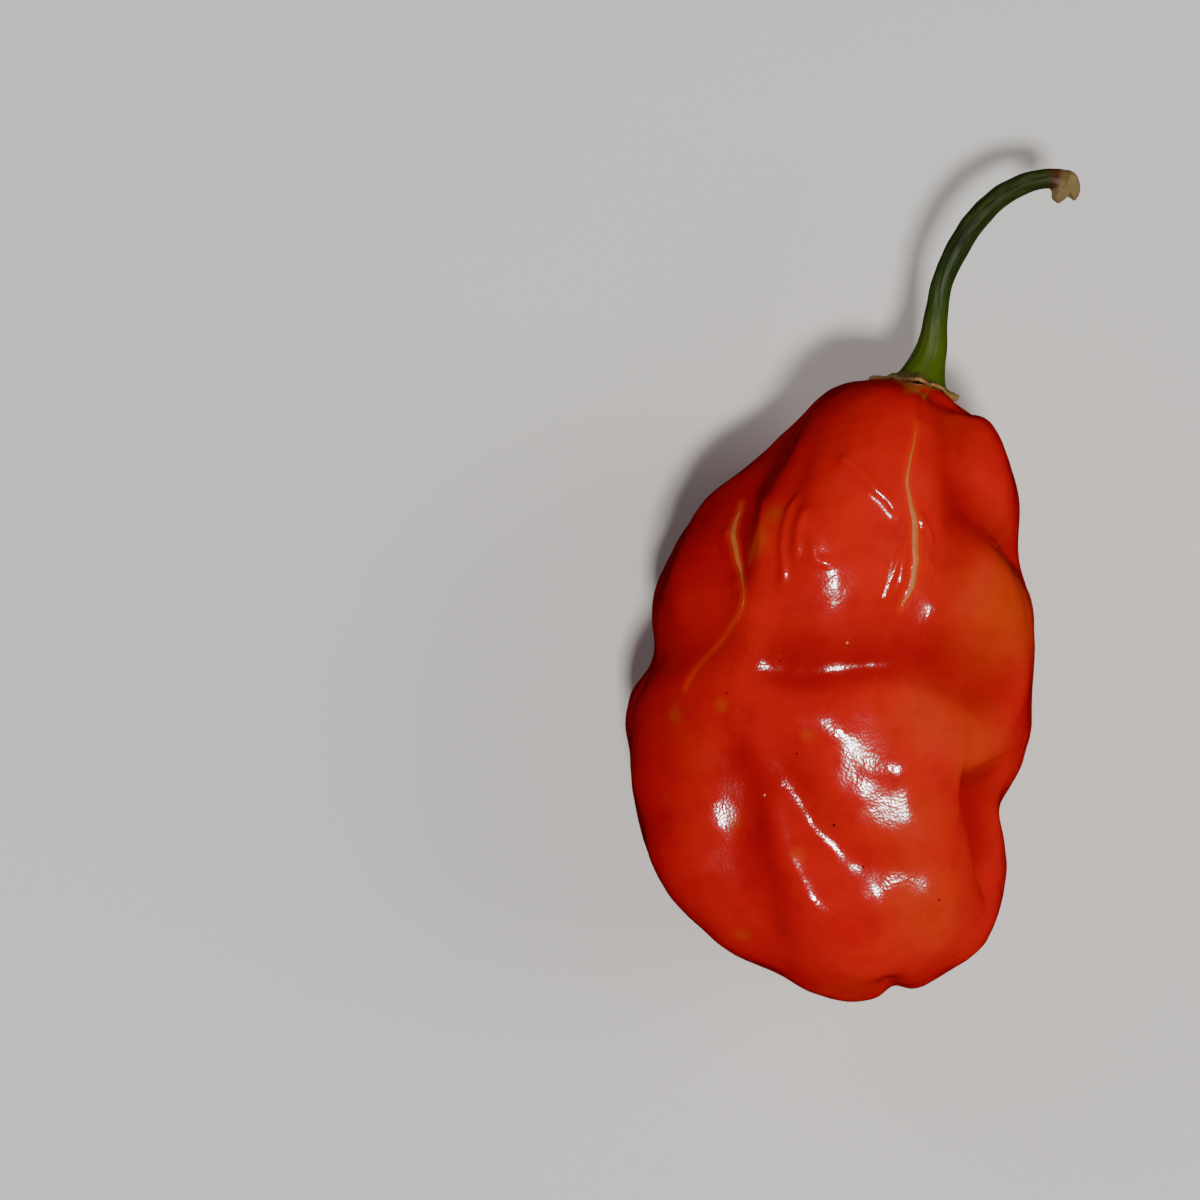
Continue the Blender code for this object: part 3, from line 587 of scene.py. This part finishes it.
def skin_material(specks):
    m = Nodes("skin")
    fold, edge, orange = m.attribute("fold"), m.attribute("scar_edge"), m.attribute("orange")
    red, deep = (0.50, 0.0065, 0.0080, 1.0), (0.24, 0.0026, 0.0050, 1.0)
    amber, bright = (0.50, 0.046, 0.0090, 1.0), (0.57, 0.0120, 0.0090, 1.0)
    patchy = m.noise(95, 3, 0.55)
    mottle = m.noise(420, 4, 0.6)
    tone = m.mix(m.ramp(patchy, 0.35, 0.68), red, bright)
    # the orange attribute also carries small painted orange glints beside highlights
    warm = m.math("ADD", orange, m.math("MULTIPLY", m.math("SUBTRACT", patchy, 0.5), 0.5))
    tone = m.mix(m.ramp(warm, 0.15, 1.0), tone, amber)
    # painted shade: the skin is darkened to deep red in the furrows, where the broad relief is low
    tone = m.mix(m.ramp(fold, -0.2, -2.4, 0.0, 0.6), tone, deep)
    # painted shade: darker red bands from the SHADE table
    tone = m.mix(m.ramp(m.attribute("shade"), 0.05, 1.0, 0.0, 0.5), tone, deep)
    # painted shade: the left side of the pod (towards -X) is darkened to deep red
    tone = m.mix(m.ramp(m.attribute("ring_x"), -0.3, -1.0, 0.0, 0.5), tone, deep)
    tone = m.mix(m.ramp(mottle, 0.45, 0.75, 0.0, 0.22), tone, deep)
    # short pale flecks under the cuticle, drawn out along the pod
    fleck = m.cells(900, vector=m.scaled(1.0, 0.55, 1.0))
    tone = m.mix(m.ramp(fleck, 0.16, 0.05, 0.0, 0.22), tone, amber)
    halo = m.ramp(edge, 0.55, 0.02, 0.0, 0.5)
    tone = m.mix(halo, tone, (0.62, 0.035, 0.004, 1.0))
    cork = m.noise(1500, 3, 0.6)
    cork_tone = m.mix(cork, (0.36, 0.075, 0.014, 1.0), (0.54, 0.16, 0.032, 1.0))
    is_scar = m.ramp(edge, 0.045, -0.025)
    is_scar = m.math("MULTIPLY", is_scar, m.ramp(m.noise(700, 2), 0.18, 0.34))
    tone = m.mix(is_scar, tone, cork_tone)
    for place, radius, pale in specks:
        gap = m.add("ShaderNodeVectorMath", operation="DISTANCE")
        m.plug(m.place, gap.inputs[0])
        gap.inputs[1].default_value = place
        spot = m.ramp(gap.outputs["Value"], radius * 1.3 * MM, radius * 0.6 * MM, 0.0, 0.85)
        tone = m.mix(spot, tone, colour(226, 150, 110) if pale else colour(46, 8, 6))
    gloss = m.ramp(m.noise(260, 3, 0.6), 0.3, 0.75, 0.10, 0.18)
    gloss = m.math("ADD", gloss, m.math("MULTIPLY", is_scar, 0.4))
    skin = m.bump(m.noise(330, 3, 0.55), 0.35, 0.00010)
    grain = m.bump(m.cells(3600), 0.30, 0.000030, skin)
    crust = m.bump(m.math("MULTIPLY", is_scar, m.noise(2600, 3, 0.65)), 0.6, 0.00008, grain)
    m.set(Base_Color=tone, Roughness=gloss, Normal=crust, IOR=1.5, Subsurface_Weight=0.16,
          Subsurface_Radius=(1.0, 0.22, 0.08), Subsurface_Scale=0.0022)
    return m.material


# ---- calyx ----------------------------------------------------------------------------------

def fine_calyx(pod):
    """The cap, with short teeth, a crinkled rim, a raised ring round the stem and radial veins."""
    axis, side, rise = calyx_axes()
    around, rings = 180, 26
    angle = np.linspace(0, 2 * math.pi, around, endpoint=False)
    crown = pod - np.array(CALYX_CENTRE)
    flat = np.column_stack([crown @ side, crown @ rise])
    tall = crown @ axis
    near = (np.hypot(flat[:, 0], flat[:, 1]) < CALYX_DIAMETER / 2 + 2.5) & (tall > -6)
    flat, tall = flat[near], tall[near]

    def crown_at(across, up):
        out = np.empty(len(across))
        for k, (a, b) in enumerate(zip(across, up)):
            weight = np.exp(-(np.hypot(flat[:, 0] - a, flat[:, 1] - b) / 0.7)**2) + 1e-12
            out[k] = (weight * tall).sum() / weight.sum()
        return out

    tooth = (0.34 * np.cos(CALYX_TEETH * angle) + 0.14 * np.cos(11 * angle + 1.0)
             + 0.08 * np.cos(23 * angle))
    crinkle = 0.10 * np.cos(9 * angle + 0.7) + 0.07 * np.cos(17 * angle) + 0.05 * np.cos(31 * angle + 2)
    # the tooth on the stem's right curls up and back
    curl = np.exp(-((np.angle(np.exp(1j * (angle - math.radians(96))))) / 0.30)**2)
    rows, radial, upper = [], [], []
    share = np.linspace(0, 1, rings)**0.8
    for top, order in ((False, share), (True, share[::-1])):
        for r in order:
            reach = r * CALYX_DIAMETER / 2 + (tooth + 0.35 * curl) * r**4
            across, up = reach * np.sin(angle), reach * np.cos(angle)
            height = crown_at(across, up) + 0.06 + crinkle * r**3 + 0.75 * curl * r**6 + 0.10 * r**8
            if top:
                thick = 0.32 + 0.75 * (1 - r**2)
                ring = 0.22 * np.exp(-((r - 0.56) / 0.08)**2) - 0.12 * np.exp(-((r - 0.70) / 0.07)**2)
                vein = 0.07 * np.cos(10 * angle + 0.5) * smooth((r - 0.35) / 0.4) * (1 - r**6)
                height = height + thick + ring + vein
            rows.append(np.array(CALYX_CENTRE) + across[:, None] * side + up[:, None] * rise
                        + height[:, None] * axis)
            radial.append(np.full(around, r))
            upper.append(angle)
    radial, upper = np.array(radial), np.array(upper)
    return np.array(rows), (("radial", radial), ("turn_x", np.cos(upper)), ("turn_y", np.sin(upper)))


def calyx_material():
    m = Nodes("calyx")
    radial = m.attribute("radial")
    fibre = m.add("ShaderNodeCombineXYZ")
    m.plug(m.attribute("turn_x"), fibre.inputs[0])
    m.plug(m.attribute("turn_y"), fibre.inputs[1])
    m.plug(m.math("MULTIPLY", radial, 0.25), fibre.inputs[2])
    streak = m.noise(14, 3, 0.6, vector=fibre.outputs[0])
    green, olive = colour(92, 104, 30), colour(110, 88, 40)
    tan, brown = colour(168, 128, 76), colour(78, 50, 26)
    tone = m.mix(m.ramp(radial, 0.35, 0.75), green, olive)
    tone = m.mix(m.ramp(radial, 0.80, 0.97), tone, tan)
    tone = m.mix(m.ramp(streak, 0.48, 0.72, 0.0, 0.7), tone, brown)
    tone = m.mix(m.ramp(m.noise(1300, 3), 0.55, 0.8, 0.0, 0.5), tone, colour(60, 34, 18))
    bump = m.bump(streak, 0.6, 0.00012)
    bump = m.bump(m.noise(2200, 3, 0.6), 0.4, 0.00006, bump)
    m.set(Base_Color=tone, Roughness=0.62, Normal=bump, Subsurface_Weight=0.05,
          Subsurface_Radius=(1.0, 0.6, 0.2), Subsurface_Scale=0.0008)
    return m.material


# ---- stem -----------------------------------------------------------------------------------

# centre line and diameter of the visible stalk: x, y, z, diameter
STALK = (
    (7.7, 29.3, 18.9, 5.6),
    (8.0, 30.2, 19.0, 4.3),
    (8.5, 31.8, 19.3, 3.3),
    (8.85, 33.8, 19.7, 2.65),
    (9.1, 36.0, 20.1, 2.2),
    (9.45, 38.6, 20.5, 2.02),
    (10.5, 41.3, 21.0, 2.12),
    (12.3, 44.3, 21.3, 2.2),
    (14.8, 46.8, 21.5, 2.08),
    (17.3, 48.15, 21.5, 1.9),
    (19.2, 48.6, 21.4, 1.85),
    (20.15, 48.55, 21.3, 2.05),
    (20.9, 48.25, 21.2, 2.5),
)


def tube(control, along_count, around, ridge, wobble, seed):
    """Rings along a path of (x, y, z, diameter), with shallow ridges, plus the ring's own frame."""
    path = smooth_path(control, 16)
    step = np.concatenate([[0], np.cumsum(np.linalg.norm(np.diff(path[:, :3], axis=0), axis=1))])
    even = np.linspace(0, step[-1], along_count)
    path = np.column_stack([np.interp(even, step, path[:, k]) for k in range(4)])
    angle = np.linspace(0, 2 * math.pi, around, endpoint=False)
    tangent = np.gradient(path[:, :3], axis=0)
    tangent /= np.linalg.norm(tangent, axis=1, keepdims=True)
    rows = []
    for k, point in enumerate(path):
        u = np.cross(tangent[k], (0.0, 0.0, 1.0))
        u /= np.linalg.norm(u)
        v = np.cross(u, tangent[k])
        turn = 0.25 * math.sin(even[k] * 0.35) + angle
        out = (1 + ridge * np.cos(5 * turn) + 0.4 * ridge * np.cos(11 * turn + 1)
               + 0.25 * ridge * np.cos(19 * turn))
        rows.append(point[:3] + (point[3] / 2 * out)[:, None]
                    * (np.cos(angle)[:, None] * u + np.sin(angle)[:, None] * v))
    rows = np.array(rows)
    shift = wobble * waves(rows.reshape(-1, 3), 2.6, 20, seed).reshape(rows.shape[:2])
    radial = rows - path[:, None, :3]
    radial /= np.linalg.norm(radial, axis=2, keepdims=True)
    return rows + radial * shift[..., None], even, path, tangent, angle


def fine_stem():
    rows, even, path, tangent, angle = tube(STALK, 150, 72, 0.035, 0.025, 21)
    end = [rows[0] * 0.02 + path[0, :3] * 0.98]
    cap = [path[-1, :3] + (rows[-1] - path[-1, :3]) * s + tangent[-1] * h
           for s, h in ((0.86, 0.12), (0.6, 0.10), (0.3, 0.02), (0.02, 0.0))]
    grid = np.array(end + list(rows) + cap)
    along = np.concatenate([[0], even, [even[-1]] * 4])
    shape = grid.shape[:2]
    fields = (
        ("along", np.repeat(along[:, None], shape[1], axis=1)),
        ("turn_x", np.repeat(np.cos(angle)[None], shape[0], axis=0)),
        ("turn_y", np.repeat(np.sin(angle)[None], shape[0], axis=0)),
    )
    return grid, fields


def stem_material():
    m = Nodes("stem")
    along = m.attribute("along")
    fibre = m.add("ShaderNodeCombineXYZ")
    m.plug(m.attribute("turn_x"), fibre.inputs[0])
    m.plug(m.attribute("turn_y"), fibre.inputs[1])
    m.plug(m.math("MULTIPLY", along, 0.12), fibre.inputs[2])
    streak = m.noise(5.0, 4, 0.6, vector=fibre.outputs[0])
    fresh, mid, dark = colour(66, 84, 8), colour(34, 54, 12), colour(27, 38, 14)
    tone = m.mix(m.ramp(along, 3.0, 9.5), fresh, mid)
    tone = m.mix(m.ramp(along, 8.0, 14.0), tone, dark)
    tone = m.mix(m.ramp(along, 14.0, 22.0, 0.0, 0.7), tone, colour(38, 48, 18))
    tone = m.mix(m.ramp(streak, 0.42, 0.7, 0.0, 0.55), tone, colour(66, 78, 22))
    tone = m.mix(m.ramp(m.noise(900, 3), 0.56, 0.8, 0.0, 0.4), tone, colour(60, 52, 20))
    # brown collar where the stalk came away from the plant
    tone = m.mix(m.ramp(along, 24.2, 25.0), tone, colour(70, 38, 20))
    tone = m.mix(m.ramp(along, 25.2, 25.8), tone, colour(104, 84, 46))
    bump = m.bump(streak, 0.5, 0.00010)
    bump = m.bump(m.noise(1800, 3, 0.6), 0.3, 0.00003, bump)
    m.set(Base_Color=tone, Roughness=m.ramp(streak, 0.3, 0.8, 0.42, 0.6), Normal=bump, IOR=1.35,
          Subsurface_Weight=0.08, Subsurface_Radius=(0.5, 1.0, 0.15), Subsurface_Scale=0.0008)
    return m.material


def torn_end():
    """The tan, fibrous abscission end: a short stub that splits into two blunt prongs."""
    prongs = (
        ((20.3, 48.5, 21.3, 1.7), (20.75, 48.0, 21.25, 2.0), (20.75, 47.35, 21.2, 1.65),
         (20.55, 46.75, 21.1, 1.15), (20.5, 46.45, 21.1, 0.55)),
        ((20.5, 48.55, 21.3, 1.7), (21.2, 48.3, 21.25, 2.1), (21.75, 47.7, 21.15, 1.7),
         (21.95, 47.1, 21.1, 1.2), (22.0, 46.7, 21.05, 0.55)),
    )
    made = []
    for k, control in enumerate(prongs):
        rows, even, path, tangent, angle = tube(control, 40, 44, 0.07, 0.07, 31 + k)
        end = [path[0, :3] + (rows[0] - path[0, :3]) * 0.02]
        cap = [path[-1, :3] + (rows[-1] - path[-1, :3]) * s + tangent[-1] * h
               for s, h in ((0.7, 0.10), (0.02, 0.14))]
        grid = np.array(end + list(rows) + cap)
        along = np.concatenate([[0], even / even[-1], [1, 1]])
        shape = grid.shape[:2]
        fields = (
            ("along", np.repeat(along[:, None], shape[1], axis=1)),
            ("turn_x", np.repeat(np.cos(angle)[None], shape[0], axis=0)),
            ("turn_y", np.repeat(np.sin(angle)[None], shape[0], axis=0)),
        )
        made.append((grid, fields))
    return made


def torn_material():
    m = Nodes("torn_end")
    along = m.attribute("along")
    fibre = m.add("ShaderNodeCombineXYZ")
    m.plug(m.attribute("turn_x"), fibre.inputs[0])
    m.plug(m.attribute("turn_y"), fibre.inputs[1])
    m.plug(m.math("MULTIPLY", along, 0.3), fibre.inputs[2])
    streak = m.noise(7.0, 4, 0.65, vector=fibre.outputs[0])
    tone = m.mix(streak, colour(82, 64, 34), colour(150, 132, 84))
    tone = m.mix(m.ramp(along, 0.30, 0.0), tone, colour(84, 50, 26))
    tone = m.mix(m.ramp(m.noise(1700, 3), 0.55, 0.75, 0.0, 0.5), tone, colour(92, 66, 34))
    bump = m.bump(streak, 0.8, 0.00018)
    bump = m.bump(m.noise(2600, 3, 0.6), 0.5, 0.00006, bump)
    m.set(Base_Color=tone, Roughness=0.75, Normal=bump)
    return m.material


# ---- put it together ------------------------------------------------------------------------

CAD_POD = pod_grid()
OFFSET = np.array(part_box("pod")[0]) - CAD_POD.reshape(-1, 3).min(0) * MM


def placed(grid):
    return grid * MM + OFFSET


def add(name, grid, fields, material, node):
    thing = build_mesh(name, placed(grid), fields)
    thing.data.materials.append(material)
    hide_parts(node)
    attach(thing, "root")
    return thing


pod, pod_fields, pod_points, pod_base = fine_pod()
specks = []
for table, pale in ((DARK_SPECKS, False), (PALE_SPECKS, True)):
    for station, degrees, radius in table:
        k = np.linalg.norm(pod_base - point_on(station, degrees), axis=1).argmin()
        specks.append((tuple(pod_points[k] * MM + OFFSET), radius, pale))
add("pod_skin", pod, pod_fields, skin_material(specks), "pod")

calyx, calyx_fields = fine_calyx(pod_points)
add("calyx_cap", calyx, calyx_fields, calyx_material(), "calyx")

stem, stem_fields = fine_stem()
add("stem_stalk", stem, stem_fields, stem_material(), "stem")
torn = torn_material()
for k, (grid, fields) in enumerate(torn_end()):
    add(f"stem_torn_end_{k + 1}", grid, fields, torn, "stem")

# ---- floor, light and camera ----------------------------------------------------------------

FLOOR_SIZE = 3.0
FLOOR_COLOUR = (0.72, 0.71, 0.70, 1.0)
WORLD_COLOUR = (0.95, 0.97, 1.0, 1.0)
WORLD_STRENGTH = 0.07
# name, place from the pod's middle in x and y and above the floor, width, depth, watts, colour,
# and whether the skin mirrors it (metres)
SOFTBOXES = (
    ("key", (-0.02, -0.17, 0.66), 0.075, 0.055, 3.9, (1.0, 0.97, 0.93), True),
    ("right_fill", (0.60, 0.10, 0.45), 0.50, 0.50, 2.6, (1.0, 0.93, 0.86), False),
    ("left_fill", (-0.50, 0.45, 0.55), 0.40, 0.40, 0.9, (0.95, 0.97, 1.0), False),
)

floor_mesh = bpy.data.meshes.new("floor")
half = FLOOR_SIZE / 2
corners = [(-half, -half, 0), (half, -half, 0), (half, half, 0), (-half, half, 0)]
floor_mesh.from_pydata(corners, [], [(0, 1, 2, 3)])
floor = bpy.data.objects.new("floor", floor_mesh)
bpy.context.scene.collection.objects.link(floor)
paper = Nodes("floor")
paper.set(Base_Color=FLOOR_COLOUR, Roughness=0.85)
paper.set(Specular_IOR_Level=0.2)
floor_mesh.materials.append(paper.material)
floor.visible_glossy = False

world = bpy.data.worlds.new("studio")
bpy.context.scene.world = world
world.use_nodes = True
background = world.node_tree.nodes["Background"]
background.inputs["Color"].default_value = WORLD_COLOUR
background.inputs["Strength"].default_value = WORLD_STRENGTH
world.cycles_visibility.glossy = False


def softbox(name, place, target, width, height, watts, tint, mirrored):
    lamp = bpy.data.lights.new(name, "AREA")
    lamp.shape = "RECTANGLE"
    lamp.size, lamp.size_y = width, height
    lamp.energy = watts
    lamp.color = tint
    thing = bpy.data.objects.new(name, lamp)
    bpy.context.scene.collection.objects.link(thing)
    thing.location = place
    thing.visible_glossy = mirrored
    thing.rotation_mode = "QUATERNION"
    thing.rotation_quaternion = (Vector(target) - Vector(place)).to_track_quat("-Z", "Y")
    return thing


low, high = (np.array(corner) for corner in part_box("pod"))
middle = (low + high) / 2
for name, (x, y, z), width, height, watts, tint, mirrored in SOFTBOXES:
    place = (middle[0] + x, middle[1] + y, z)
    softbox(name, place, middle, width, height, watts, tint, mirrored)


# The camera looks straight down from 190 mm above the pod's middle height
CAMERA_PLACE = (-23.04, 8.64, 209.0)
CAMERA_RISE = 190.0
VIEW_WIDTH = 115.2
SENSOR = 36.0
camera_data = bpy.data.cameras.new("camera")
camera_data.sensor_width = SENSOR
camera_data.lens = SENSOR * CAMERA_RISE / VIEW_WIDTH
camera_data.clip_start = 0.01
camera = bpy.data.objects.new("camera", camera_data)
bpy.context.scene.collection.objects.link(camera)
camera.location = np.array(CAMERA_PLACE) * MM + OFFSET
camera.rotation_euler = (0.0, 0.0, 0.0)
bpy.context.scene.camera = camera
